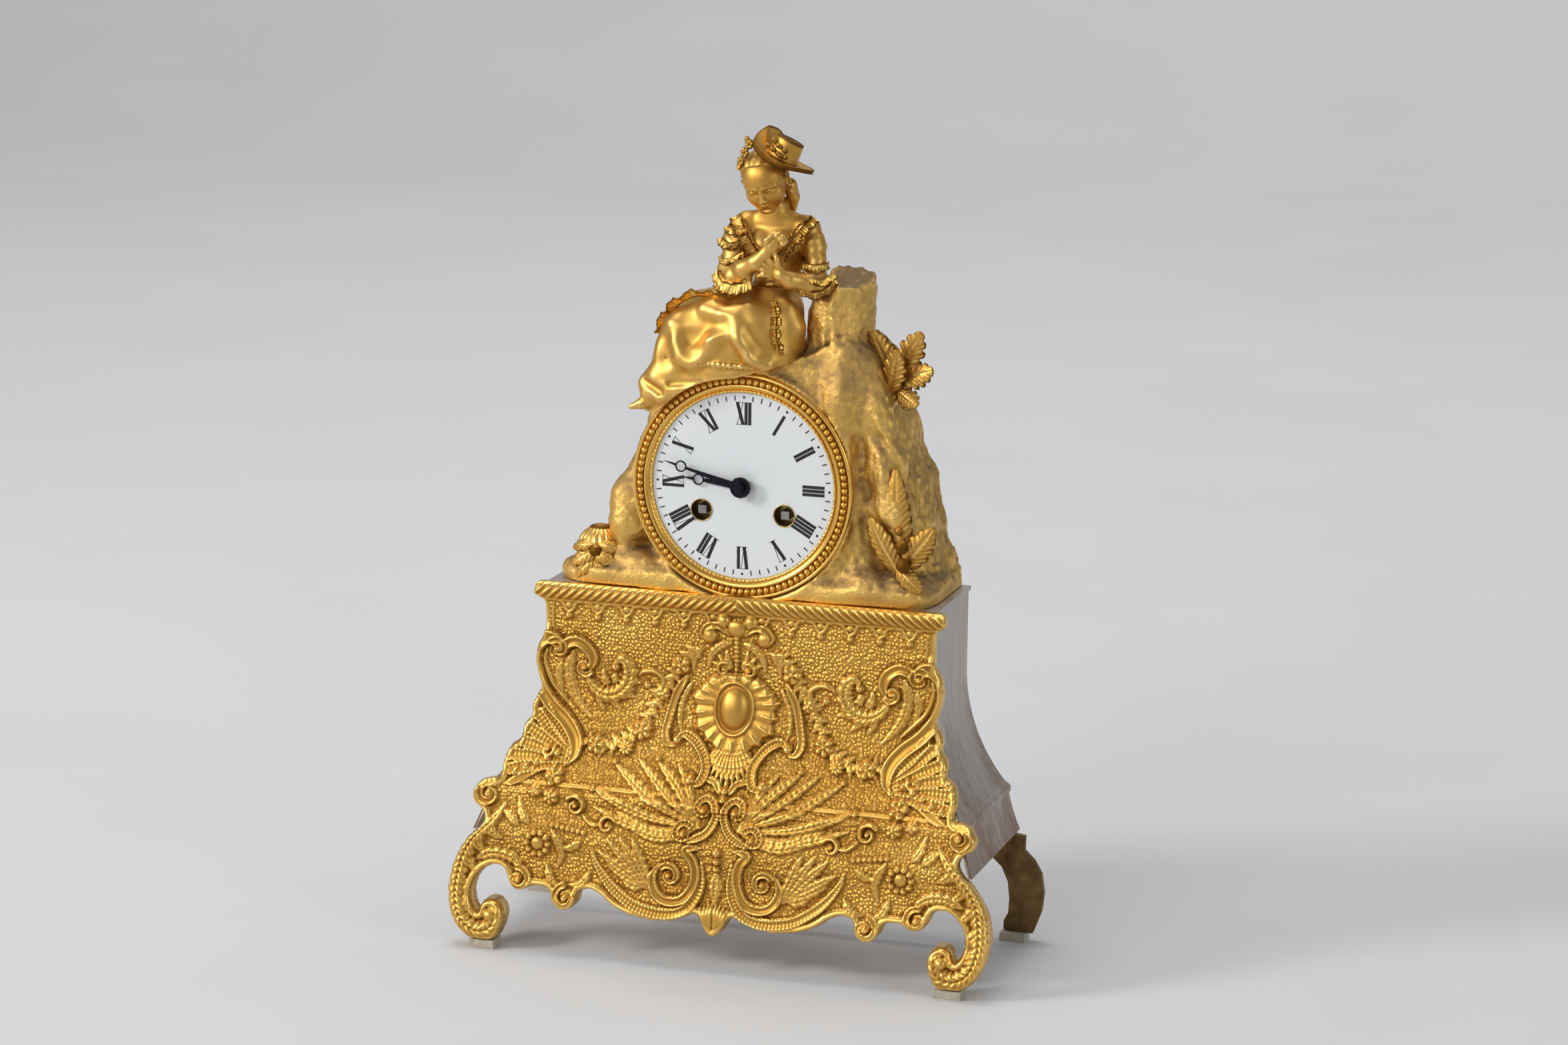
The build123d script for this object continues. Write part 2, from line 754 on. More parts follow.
lower_leaf_shares = [
    ((0.8000, 0.1213), (0.7892, 0.5397), 0.130),
    ((0.8000, 0.1213), (0.6703, 0.3473), 0.097),
    ((0.8000, 0.1213), (0.9514, 0.3222), 0.097),
    ((0.7784, 0.1464), (0.8973, 0.0753), 0.086),
]
lower_leaf_back = -4.0
berry_radius = 2.8
berry_flats = 8
berry_shares = [(0.8000, 0.2469), (0.8216, 0.1548)]
with BuildPart() as lower_leaf_spray:
    for base_share, tip_share, width_share in lower_leaf_shares:
        leaf(
            on_rock(*base_share),
            on_rock(*tip_share),
            width_share * base_half_width,
            lower_leaf_back,
            2 * leaf_sheet,
        )
    for berry_share in berry_shares:
        with BuildSketch(front_view(lower_leaf_back, *on_rock(*berry_share))):
            RegularPolygon(berry_radius, berry_flats)
        extrude(amount=2 * leaf_sheet + berry_radius)
    add(rockwork.part, mode=Mode.SUBTRACT)
write(lower_leaf_spray.part, "lower_leaf_spray")

gourd_place_share = (-0.7784, 0.0795)
gourd_x, gourd_bottom = on_rock(*gourd_place_share)
gourd_y = -2.0
gourd_radius = 10.5
gourd_height = 16.0
gourd_sides = 12
gourd_rib_share = 0.08
gourd_profile_shares = [
    (-0.3, 0.8), (-0.1, 0.95), (0.1, 0.75), (0.3, 0.94), (0.55, 1.0), (0.8, 0.8), (1.0, 0.3),
]
with BuildPart() as gourd:
    gourd_levels = [
        (gourd_bottom + share_z * gourd_height, gourd_x, gourd_y, share_r * gourd_radius, share_r * gourd_radius)
        for share_z, share_r in gourd_profile_shares
    ]
    add(stack(gourd_levels, gourd_sides, gourd_rib_share))
    add(mound(0, mound_levels), mode=Mode.SUBTRACT)
write(gourd.part, "gourd")

# The seated figure: heights over the seat, places and half sizes are all shares of the figure's height


def figure_levels(shares):
    """Levels of height, middle x and y, half width and half depth, from shares of the figure's height."""
    return [
        (seat_height + height * figure_height, *[share * figure_height for share in others])
        for height, *others in shares
    ]


skirt_shares = [
    (-0.1643, -0.1221, -0.0188, 0.3192, 0.1878),
    (0.0047, -0.1127, -0.0094, 0.3099, 0.1972),
    (0.1080, -0.1127, -0.0094, 0.3099, 0.1878),
    (0.2019, -0.0939, 0.0000, 0.2817, 0.1690),
    (0.2676, -0.0469, 0.0188, 0.2066, 0.1315),
    (0.3052, 0.0282, 0.0563, 0.1315, 0.0939),
]
torso_shares = [
    (0.3052, 0.0751, 0.0751, 0.0939, 0.0704),
    (0.4178, 0.0751, 0.0751, 0.1127, 0.0798),
    (0.5305, 0.0751, 0.0751, 0.1408, 0.0845),
    (0.6150, 0.0751, 0.0751, 0.1549, 0.0751),
    (0.6432, 0.0657, 0.0751, 0.1033, 0.0610),
    (0.6667, 0.0563, 0.0657, 0.0516, 0.0469),
    (0.7089, 0.0469, 0.0563, 0.0451, 0.0451),
]
head_shares = [
    (0.6573, 0.0282, 0.0094, 0.0282, 0.0310),
    (0.6901, 0.0376, 0.0235, 0.0657, 0.0723),
    (0.7465, 0.0469, 0.0376, 0.0873, 0.0961),
    (0.8122, 0.0516, 0.0423, 0.0892, 0.0981),
    (0.8685, 0.0563, 0.0469, 0.0657, 0.0723),
    (0.8920, 0.0563, 0.0469, 0.0282, 0.0310),
]
brim_shares = [
    (0.8498, 0.0845, 0.0469, 0.1502, 0.1352),
    (0.8685, 0.0751, 0.0469, 0.1408, 0.1268),
]
crown_shares = [
    (0.8685, 0.1033, 0.0563, 0.0798, 0.0798),
    (1.0000, 0.1221, 0.0563, 0.0610, 0.0610),
]
train_shares = [
    (0.0, 0.0), (-0.36, -0.02), (-0.72, -0.19), (-0.93, -0.45), (-0.86, -0.62), (-0.55, -0.52),
]
train_reach = 32.0
train_left = -26.0
train_front = -16.0
train_back = 10.0
skirt_sides = 20
skirt_fold_share = 0.06
body_sides = 12
head_sides = 10

with BuildPart() as figure_skirt:
    add(stack(figure_levels(skirt_shares), skirt_sides, skirt_fold_share))
    with BuildSketch(front_view(train_back, train_left, seat_height)):
        with BuildLine():
            Polyline(*[(x * train_reach, z * train_reach) for x, z in train_shares], close=True)
        make_face()
    extrude(amount=train_back - train_front)
    # The seat face follows the rock
    with BuildSketch(front_view(3 * base_back)):
        with BuildLine():
            Polyline(
                (-2 * base_half_width, seat_height - 2 * base_half_width * rise),
                (base_half_width, seat_height + base_half_width * rise),
                (base_half_width, base_top),
                (-2 * base_half_width, base_top - base_half_width * rise),
                close=True,
            )
        make_face()
    extrude(amount=6 * base_back, mode=Mode.SUBTRACT)
    add(rockwork.part, mode=Mode.SUBTRACT)
write(figure_skirt.part, "figure_skirt")

with BuildPart() as figure_torso:
    add(stack(figure_levels(torso_shares), body_sides))
write(figure_torso.part, "figure_torso")

with BuildPart() as figure_head:
    add(stack(figure_levels(head_shares), head_sides))
    add(figure_torso.part, mode=Mode.SUBTRACT)
write(figure_head.part, "figure_head")

with BuildPart() as figure_hat:
    add(stack(figure_levels(brim_shares), body_sides))
    add(stack(figure_levels(crown_shares), head_sides))
    add(figure_head.part, mode=Mode.SUBTRACT)
write(figure_hat.part, "figure_hat")


def limb(shares):
    """A tapered limb through places of x, y, height and radius, as shares of the figure's height."""
    path = [
        (x * figure_height, y * figure_height, seat_height + z * figure_height, radius * figure_height)
        for x, y, z, radius in shares
    ]
    with BuildPart() as arm:
        for i, (x, y, z, radius) in enumerate(path):
            before = Vector(*path[max(i - 1, 0)][:3])
            after = Vector(*path[min(i + 1, len(path) - 1)][:3])
            with BuildSketch(Plane(origin=(x, y, z), x_dir=(0, 1, 0), z_dir=(after - before).normalized())):
                RegularPolygon(radius, limb_sides)
        loft(ruled=True)
    return arm.part


limb_sides = 8
right_arm_shares = [
    (-0.0563, 0.0563, 0.5962, 0.0516),
    (-0.1127, 0.0188, 0.5117, 0.0610),
    (-0.1221, -0.0563, 0.4178, 0.0423),
    (-0.0751, -0.1221, 0.4178, 0.0338),
    (0.0282, -0.1221, 0.4836, 0.0282),
    (0.0751, -0.1033, 0.5305, 0.0357),
]
left_arm_shares = [
    (0.2160, 0.0657, 0.5962, 0.0516),
    (0.2629, 0.0469, 0.4930, 0.0488),
    (0.2770, 0.0000, 0.4507, 0.0488),
    (0.2347, -0.0657, 0.3944, 0.0394),
    (0.1221, -0.0939, 0.3803, 0.0300),
    (0.0469, -0.1033, 0.3991, 0.0282),
]
with BuildPart() as figure_right_arm:
    add(limb(right_arm_shares))
    add(figure_torso.part, mode=Mode.SUBTRACT)
    add(figure_skirt.part, mode=Mode.SUBTRACT)
write(figure_right_arm.part, "figure_right_arm")

with BuildPart() as figure_left_arm:
    add(limb(left_arm_shares))
    add(figure_torso.part, mode=Mode.SUBTRACT)
    add(rockwork.part, mode=Mode.SUBTRACT)
write(figure_left_arm.part, "figure_left_arm")

# Bezel with its ring of beads, and the dial

# Each ring: outer and inner radius, and how far it stands forward, as shares of the bezel's radius and rise
bezel_ring_shares = [(1.0, 0.955, 0.7), (1.0, 0.86, 0.3), (0.892, 0.86, 0.55)]
bezel_lip = 0.6
with BuildPart() as bezel:
    for outer_share, inner_share, rise_share in bezel_ring_shares:
        front = seat_front - rise_share * bezel_rise
        with BuildSketch(front_view(seat_front, 0, dial_height)):
            RegularPolygon(outer_share * bezel_radius, ring_flats)
            RegularPolygon(inner_share * bezel_radius, ring_flats, mode=Mode.SUBTRACT)
        extrude(amount=seat_front - front)
    with BuildSketch(front_view(seat_front, 0, dial_height)):
        RegularPolygon(bead_ring + bead_width / 2, ring_flats)
        RegularPolygon(bead_ring - bead_width / 2, ring_flats, mode=Mode.SUBTRACT)
    extrude(amount=bezel_rise * bead_rise_share)
    with BuildSketch(front_view(seat_front + bezel_lip, 0, dial_height)):
        RegularPolygon(bore_radius - 2 * running, ring_flats)
        RegularPolygon(bezel_ring_shares[1][1] * bezel_radius, ring_flats, mode=Mode.SUBTRACT)
    extrude(amount=2 * bezel_lip)
write(bezel.part, "bezel")

hand_hole = 2.9
dial_feet_ring = 36.0
dial_foot_radius = 1.2
dial_back = dial_front + dial_sheet
with BuildPart() as dial:
    disc(centre, dial_radius, dial_front, dial_back)
    disc(centre, hand_hole, dial_front - overrun, dial_back + overrun, Mode.SUBTRACT)
    for side in (-1, 1):
        hole_place = (side * winding_across, -winding_drop)
        disc(hole_place, winding_hole, dial_front - overrun, dial_back + overrun, Mode.SUBTRACT)
    for i in range(3):
        turn = math.radians(90 + 120 * i)
        place = (dial_feet_ring * math.cos(turn), dial_feet_ring * math.sin(turn))
        disc(place, dial_foot_radius, dial_back, front_plate_face)
write(dial.part, "dial")

# Trains of the movement: teeth, modules and places round the dial's centre

great_teeth = 60
great_leaves = 10
great_module = 0.56
second_teeth = 56
second_leaves = 8
second_module = 0.5
centre_teeth = 72
third_leaves = 6
centre_module = 0.38
third_teeth = 69
escape_leaves = 6
third_module = 0.34
escape_teeth = 36
escape_radius = 7.5
strike_second_module = 0.42
pin_teeth = 60
pin_module = 0.34
locking_teeth = 54
locking_module = 0.30
warning_teeth = 48
warning_module = 0.26
minute_teeth = 36
cannon_leaves = 12
minute_module = 0.5
hour_teeth = 40
minute_leaves = 10
hour_module = 0.48
addendum_share = 0.8
dedendum_share = 1.0
leaf_share = 0.17
escape_rise = 27.4

wheel_sheet = 1.2
great_sheet = 2.5
pinion_margin = 0.3
drum_front = 6.0
drum_back = 18.0
drum_share = 0.84


def beside(place, distance, angle):
    """The place at a distance from another, in a direction given in degrees from the right, upwards."""
    turn = math.radians(angle)
    return (place[0] + distance * math.cos(turn), place[1] + distance * math.sin(turn))


def meet(a, from_a, b, from_b):
    """The place at one distance from a and another from b, on the right hand going from a to b."""
    gap = math.hypot(b[0] - a[0], b[1] - a[1])
    along = (from_a**2 - from_b**2 + gap**2) / (2 * gap)
    off = math.sqrt(from_a**2 - along**2)
    ux, uz = (b[0] - a[0]) / gap, (b[1] - a[1]) / gap
    return (a[0] + along * ux + off * uz, a[1] + along * uz - off * ux)


def depth_of(teeth, leaves, module):
    """Distance between a wheel's centre and its pinion's."""
    return (teeth + leaves) * module / 2


barrel_place = (winding_across, -winding_drop)
strike_barrel_place = (-winding_across, -winding_drop)
second_place = meet(
    centre,
    depth_of(second_teeth, second_leaves, second_module),
    barrel_place,
    depth_of(great_teeth, great_leaves, great_module),
)
escape_place = (0.0, escape_rise)
third_place = meet(
    centre,
    depth_of(centre_teeth, third_leaves, centre_module),
    escape_place,
    depth_of(third_teeth, escape_leaves, third_module),
)
pallet_place = (0.0, pendulum_pivot_rise)
strike_second_angle = 105.2
pin_angle = 20.6
locking_angle = 124.5
warning_angle = 80.3
fly_angle = 7.8
minute_wheel_angle = 45.0
strike_second_place = beside(
    strike_barrel_place, depth_of(great_teeth, great_leaves, great_module), strike_second_angle
)
pin_place = beside(
    strike_second_place, depth_of(second_teeth, second_leaves, strike_second_module), pin_angle
)
locking_place = beside(pin_place, depth_of(pin_teeth, third_leaves, pin_module), locking_angle)
warning_place = beside(locking_place, depth_of(locking_teeth, third_leaves, locking_module), warning_angle)
fly_place = beside(warning_place, depth_of(warning_teeth, third_leaves, warning_module), fly_angle)
minute_wheel_place = beside(
    centre, depth_of(minute_teeth, cannon_leaves, minute_module), minute_wheel_angle
)
hammer_place = (-9.4, 22.3)


def meshed(phase, teeth, place, other_teeth, other_place):
    """The phase, in radians, that puts another wheel's teeth in the gaps of this one's."""
    toward = math.atan2(other_place[1] - place[1], other_place[0] - place[0])
    offset = (phase - toward) % (2 * math.pi / teeth)
    return toward + math.pi - offset * teeth / other_teeth + math.pi / other_teeth


def wheel_outline(teeth, module, phase):
    """Pointed wheel teeth, two straight flanks each."""
    tip = (teeth / 2 + addendum_share) * module
    root = (teeth / 2 - dedendum_share) * module
    points = []
    for i in range(2 * teeth):
        turn = phase + math.pi * i / teeth
        reach = tip if i % 2 == 0 else root
        points.append((reach * math.cos(turn), reach * math.sin(turn)))
    return points


def pinion_outline(leaves, module, phase):
    """Slim pinion leaves with flat tips."""
    tip = (leaves / 2 + addendum_share / 2) * module
    root = (leaves / 2 - addendum_share - dedendum_share / 4) * module
    pitch = 2 * math.pi / leaves
    points = []
    for i in range(leaves):
        for reach, place in ((root, -leaf_share), (tip, -leaf_share / 2), (tip, leaf_share / 2), (root, leaf_share)):
            turn = phase + pitch * (i + place)
            points.append((reach * math.cos(turn), reach * math.sin(turn)))
    return points


def toothed(place, points, front, back):
    """A toothed slab along Y, its place measured from the dial's centre."""
    with BuildSketch(front_view(back, place[0], dial_height + place[1])) as section:
        with BuildLine():
            Polyline(*points, close=True)
        make_face()
    extrude(section.sketch, amount=back - front)


plate_front_inside = front_plate_face + plate_sheet
plate_back_inside = plate_front_inside + plate_gap
plate_back_face = plate_back_inside + plate_sheet


def arbor(place, radius, pivot, front=front_plate_face, back=plate_back_face):
    """An arbor between the plates, with a pivot through each."""
    disc(place, radius, plate_front_inside + end_shake, plate_back_inside - end_shake)
    disc(place, pivot, front, back)


# Phases of the teeth, each from the wheel before it

great_phase = 0.0
second_phase = meshed(great_phase, great_teeth, barrel_place, great_leaves, second_place)
centre_phase = meshed(second_phase, second_teeth, second_place, second_leaves, centre)
third_phase = meshed(centre_phase, centre_teeth, centre, third_leaves, third_place)
escape_phase = meshed(third_phase, third_teeth, third_place, escape_leaves, escape_place)
strike_second_phase = meshed(0.0, great_teeth, strike_barrel_place, great_leaves, strike_second_place)
pin_phase = meshed(strike_second_phase, second_teeth, strike_second_place, second_leaves, pin_place)
locking_phase = meshed(pin_phase, pin_teeth, pin_place, third_leaves, locking_place)
warning_phase = meshed(locking_phase, locking_teeth, locking_place, third_leaves, warning_place)
fly_phase = meshed(warning_phase, warning_teeth, warning_place, third_leaves, fly_place)
minute_phase = meshed(0.0, cannon_leaves, centre, minute_teeth, minute_wheel_place)
hour_phase = meshed(minute_phase, minute_leaves, minute_wheel_place, hour_teeth, centre)

# Depths of the wheels, from the front plate backwards

great_front = drum_back
second_front = 24.0
centre_front = 0.0
third_front = 14.0
escape_front = 22.0
pin_front = 3.0
locking_front = 10.0
warning_front = 17.0
fly_front = 2.0
fly_depth = 7.0
fly_radius = 5.0
fly_sheet = 0.4

# Plates, pillars and case ring of the movement

pillar_angles = (35.0, 145.0, 250.0, 290.0)
winding_bearing = square_width * bearing_share
slim_places = [third_place, escape_place, pallet_place, locking_place, warning_place, fly_place]
stout_places = [second_place, strike_second_place, pin_place, hammer_place]
winding_places = [barrel_place, strike_barrel_place]


def pierced_plate(front):
    """One plate of the movement, with a bearing for every arbor."""
    with BuildPart() as plate:
        disc(centre, plate_radius, front, front + plate_sheet)
        bearings = [(place, slim_pivot) for place in slim_places]
        bearings += [(place, pivot_radius) for place in stout_places]
        bearings += [(place, winding_bearing) for place in winding_places]
        bearings += [(centre, arbor_radius)]
        for place, radius in bearings:
            disc(place, radius + running, front - overrun, front + plate_sheet + overrun, Mode.SUBTRACT)
    return plate.part


movement_front_plate = pierced_plate(front_plate_face)
write(movement_front_plate, "movement_front_plate")
movement_back_plate = pierced_plate(plate_back_inside)
write(movement_back_plate, "movement_back_plate")

with BuildPart() as movement_pillars:
    for angle in pillar_angles:
        disc(beside(centre, pillar_ring, angle), pillar_radius, plate_front_inside, plate_back_inside)
write(movement_pillars.part, "movement_pillars")

rear_bezel_sheet = 2.0
rear_bezel_outer = 47.0
rear_bezel_inner = 42.0
with BuildPart() as rear_bezel:
    disc(centre, rear_bezel_outer, seat_back, seat_back + rear_bezel_sheet)
    disc(centre, rear_bezel_inner, seat_back - overrun, seat_back + rear_bezel_sheet + overrun, Mode.SUBTRACT)
write(rear_bezel.part, "rear_bezel")

strap_height = 8.0
strap_sheet = 1.4
with BuildPart() as case_straps:
    for side in (-1, 1):
        with Locations((side * (plate_radius + strap_sheet / 2), (dial_back + seat_back) / 2, dial_height)):
            Box(strap_sheet, seat_back - dial_back, strap_height)
write(case_straps.part, "case_straps")

# Going train


def arms(place, teeth, module, phase, front, hub):
    """A wheel with four arms: rim and teeth, less its four windows."""
    rim = (teeth / 2 - dedendum_share) * module - wheel_sheet
    half_arm = wheel_sheet / 2
    toothed(place, wheel_outline(teeth, module, phase), front, front + wheel_sheet)
    with BuildSketch(front_view(front + wheel_sheet, place[0], dial_height + place[1])) as windows:
        for i in range(4):
            quarter = math.pi / 2 * i
            corners = []
            for reach, turn in (
                (hub, math.asin(half_arm / hub)),
                (rim, math.asin(half_arm / rim)),
                (rim, math.pi / 2 - math.asin(half_arm / rim)),
                (hub, math.pi / 2 - math.asin(half_arm / hub)),
            ):
                corners.append((reach * math.cos(quarter + turn), reach * math.sin(quarter + turn)))
            Polygon(*corners, align=None)
    extrude(windows.sketch, amount=wheel_sheet, mode=Mode.SUBTRACT)


def pinion(place, leaves, module, phase, wheel_front, wheel_depth=wheel_sheet):
    """A pinion a little longer than the wheel that drives it is thick."""
    toothed(
        place,
        pinion_outline(leaves, module, phase),
        wheel_front - pinion_margin,
        wheel_front + wheel_depth + pinion_margin,
    )


square_front = dial_back + end_shake
for place, phase, name, arbor_name in (
    (barrel_place, great_phase, "going_barrel", "going_winding_arbor"),
    (strike_barrel_place, great_phase, "strike_barrel", "strike_winding_arbor"),
):
    with BuildPart() as barrel:
        disc(place, great_module * great_teeth / 2 * drum_share, drum_front, drum_back)
        toothed(place, wheel_outline(great_teeth, great_module, phase), great_front, great_front + great_sheet)
        great_back = great_front + great_sheet
        disc(place, winding_bearing + running, drum_front - overrun, great_back + overrun, Mode.SUBTRACT)
    write(barrel.part, name)
    with BuildPart() as winding_arbor:
        disc(place, winding_bearing, front_plate_face, plate_back_face)
        for end, back in ((drum_front - end_shake, True), (great_front + great_sheet + end_shake, False)):
            collar_front = end - arbor_radius if back else end
            disc(place, winding_bearing + arbor_radius, collar_front, collar_front + arbor_radius)
        with BuildSketch(front_view(front_plate_face, place[0], dial_height + place[1])):
            Rectangle(square_width, square_width)
        extrude(amount=front_plate_face - square_front)
    write(winding_arbor.part, arbor_name)

with BuildPart() as going_second_wheel:
    arbor(second_place, arbor_radius, pivot_radius)
    pinion(second_place, great_leaves, great_module, second_phase, great_front, great_sheet)
    arms(second_place, second_teeth, second_module, second_phase, second_front, 3 * arbor_radius)
write(going_second_wheel.part, "going_second_wheel")

minute_hand_sheet = hand_sheet
minute_hand_front = -15.0
nut_sheet = 1.6
with BuildPart() as centre_wheel:
    disc(centre, arbor_radius, minute_hand_front - nut_sheet / 2, plate_back_face)
    pinion(centre, second_leaves, second_module, centre_phase, second_front)
    arms(centre, centre_teeth, centre_module, centre_phase, centre_front, 3 * arbor_radius)
write(centre_wheel.part, "centre_wheel")

with BuildPart() as third_wheel:
    arbor(third_place, slim_arbor, slim_pivot)
    pinion(third_place, third_leaves, centre_module, third_phase, centre_front)
    arms(third_place, third_teeth, third_module, third_phase, third_front, 4 * slim_arbor)
write(third_wheel.part, "third_wheel")

escape_sheet = 1.0
escape_root_share = 0.8
with BuildPart() as escape_wheel:
    arbor(escape_place, slim_arbor, slim_pivot)
    pinion(escape_place, escape_leaves, third_module, escape_phase, third_front)
    rake = []
    for i in range(escape_teeth):
        turn = 2 * math.pi * i / escape_teeth
        rake.append((escape_radius * math.cos(turn), escape_radius * math.sin(turn)))
        turn += 2 * math.pi / escape_teeth * (1 - escape_root_share / 2)
        rake.append(
            (escape_root_share * escape_radius * math.cos(turn), escape_root_share * escape_radius * math.sin(turn))
        )
    toothed(escape_place, rake, escape_front, escape_front + escape_sheet)
write(escape_wheel.part, "escape_wheel")

# Pallets with the crutch behind the back plate

crutch_front = plate_back_face + 4 * end_shake
crutch_back = pendulum_plane - rod_radius - arbor_radius
crutch_drop = 24.0
crutch_width = 2.4
fork_play = 0.35
fork_gap = rod_radius + fork_play
pallet_shares = [
    (0.0, 0.16), (0.56, 0.02), (0.66, -0.3), (0.57, -0.32), (0.46, -0.18), (0.0, -0.13),
]
pallet_span = pendulum_pivot_rise - escape_rise
with BuildPart() as pallets:
    disc(pallet_place, slim_arbor + slim_pivot, plate_front_inside + end_shake, plate_back_inside - end_shake)
    disc(pallet_place, slim_pivot, front_plate_face, crutch_back)
    with BuildSketch(front_view(escape_front + escape_sheet, 0, dial_height + pendulum_pivot_rise)):
        with BuildLine():
            Polyline(*[(x * pallet_span, z * pallet_span) for x, z in pallet_shares])
            Polyline(*[(-x * pallet_span, z * pallet_span) for x, z in pallet_shares])
        make_face()
    extrude(amount=escape_sheet)
    with BuildSketch(front_view(crutch_back, 0, dial_height + pendulum_pivot_rise)):
        Circle(crutch_width)
        with Locations((0, -crutch_drop / 2)):
            Rectangle(crutch_width, crutch_drop)
    extrude(amount=crutch_back - crutch_front)
    for side in (-1, 1):
        with Locations(
            (
                side * (fork_gap + crutch_width / 4),
                (crutch_front + pendulum_plane + rod_radius) / 2,
                dial_height + pendulum_pivot_rise - crutch_drop,
            )
        ):
            Box(crutch_width / 2, pendulum_plane + rod_radius - crutch_front, crutch_width)
    with Locations((0, (crutch_front + crutch_back) / 2, dial_height + pendulum_pivot_rise - crutch_drop)):
        Box(2 * fork_gap + crutch_width, crutch_back - crutch_front, crutch_width)
write(pallets.part, "pallets")

# Motion work behind the dial

cannon_back = front_plate_face - 3 * end_shake
minute_wheel_back = -4.6
minute_wheel_sheet = 0.8
cannon_sheet = 2.0
hour_wheel_back = -6.8
cannon_radius = 1.5
hour_pipe_radius = 2.4
hour_hand_front = -13.0
with BuildPart() as cannon_pinion:
    disc(centre, cannon_radius, minute_hand_front + minute_hand_sheet, cannon_back)
    toothed(centre, pinion_outline(cannon_leaves, minute_module, 0.0), cannon_back - cannon_sheet, cannon_back)
    disc(centre, arbor_radius + running, minute_hand_front - overrun, cannon_back + overrun, Mode.SUBTRACT)
write(cannon_pinion.part, "cannon_pinion")

with BuildPart() as minute_wheel:
    toothed(
        minute_wheel_place,
        wheel_outline(minute_teeth, minute_module, minute_phase),
        minute_wheel_back - minute_wheel_sheet,
        minute_wheel_back,
    )
    toothed(
        minute_wheel_place,
        pinion_outline(minute_leaves, hour_module, minute_phase),
        hour_wheel_back - 2 * minute_wheel_sheet,
        minute_wheel_back - minute_wheel_sheet,
    )
    disc(
        minute_wheel_place,
        pivot_radius + running,
        hour_wheel_back - 2 * minute_wheel_sheet - overrun,
        minute_wheel_back + overrun,
        Mode.SUBTRACT,
    )
write(minute_wheel.part, "minute_wheel")

with BuildPart() as minute_post:
    disc(minute_wheel_place, pivot_radius, hour_wheel_back - 3 * minute_wheel_sheet, front_plate_face)
    disc(minute_wheel_place, 2 * pivot_radius, minute_wheel_back + end_shake, front_plate_face)
write(minute_post.part, "minute_post")

with BuildPart() as hour_wheel:
    toothed(
        centre,
        wheel_outline(hour_teeth, hour_module, hour_phase),
        hour_wheel_back - minute_wheel_sheet,
        hour_wheel_back,
    )
    disc(centre, hour_pipe_radius, hour_hand_front + hand_sheet, hour_wheel_back)
    disc(centre, cannon_radius + running, hour_hand_front - overrun, hour_wheel_back + overrun, Mode.SUBTRACT)
write(hour_wheel.part, "hour_wheel")

# Hands and their nut


def hand(angle, reach, ring_place, front, hub, bore):
    """One pierced hand, pointing at an angle clockwise from twelve."""
    turn = math.radians(90 - angle)
    along = (math.cos(turn), 0, math.sin(turn))
    with BuildPart() as pointer:
        with BuildSketch(Plane(origin=(0, front + hand_sheet, dial_height), x_dir=along, z_dir=(0, -1, 0))):
            RegularPolygon(hub, hand_flats)
            with BuildLine():
                Polyline((0, hub / 2), (ring_place, hub / 6), (ring_place, -hub / 6), (0, -hub / 2), close=True)
            make_face()
            with Locations((ring_place, 0)):
                RegularPolygon(hand_ring, hand_flats)
            with BuildLine():
                tip_root = ring_place + (hand_ring + hand_ring_hole) / 2
                Polyline((tip_root, hub / 5), (reach, 0), (tip_root, -hub / 5), close=True)
            make_face()
            with Locations((ring_place, 0)):
                RegularPolygon(hand_ring_hole, hand_flats, mode=Mode.SUBTRACT)
            RegularPolygon(bore, hand_flats, major_radius=False, mode=Mode.SUBTRACT)
        extrude(amount=hand_sheet)
    return pointer.part


minute_hand = hand(
    minute_angle, minute_reach, minute_ring_place, minute_hand_front, 2 * cannon_radius, arbor_radius + running
)
write(minute_hand, "minute_hand")
hour_hand = hand(
    hour_angle,
    hour_reach,
    hour_ring_place,
    hour_hand_front,
    hour_hub_share * hour_pipe_radius,
    cannon_radius + running,
)
write(hour_hand, "hour_hand")

nut_radius = 4.9
nut_rise = 1.2
with BuildPart() as hand_nut:
    disc(centre, nut_radius, minute_hand_front - nut_rise, minute_hand_front)
    disc(centre, nut_radius / 2, minute_hand_front - 2 * nut_rise, minute_hand_front)
    disc(centre, arbor_radius + running, minute_hand_front - nut_sheet, minute_hand_front + overrun, Mode.SUBTRACT)
write(hand_nut.part, "hand_nut")

# Strike train

count_radius = 11.5
count_notches = 12
with BuildPart() as strike_second_wheel:
    arbor(strike_second_place, arbor_radius, pivot_radius, back=plate_back_face + 2 * wheel_sheet)
    pinion(strike_second_place, great_leaves, great_module, strike_second_phase, great_front, great_sheet)
    arms(
        strike_second_place,
        second_teeth,
        strike_second_module,
        strike_second_phase,
        second_front,
        3 * arbor_radius,
    )
write(strike_second_wheel.part, "strike_second_wheel")

count_front = plate_back_face + wheel_sheet
with BuildPart() as count_wheel:
    disc(strike_second_place, count_radius, count_front, count_front + wheel_sheet)
    # Notches after one, two, three and so on up to twelve strokes
    steps_before = 0
    for hour in range(1, count_notches + 1):
        steps_before += hour + 1
        turn = 2 * math.pi * steps_before / (count_notches * (count_notches + 3) / 2)
        place = (
            strike_second_place[0] + count_radius * math.cos(turn),
            strike_second_place[1] + count_radius * math.sin(turn),
        )
        with Locations((place[0], count_front + wheel_sheet / 2, dial_height + place[1])):
            Box(wheel_sheet, 2 * wheel_sheet, wheel_sheet, mode=Mode.SUBTRACT)
    disc(strike_second_place, pivot_radius, count_front - overrun, count_front + 2 * wheel_sheet, Mode.SUBTRACT)
write(count_wheel.part, "count_wheel")

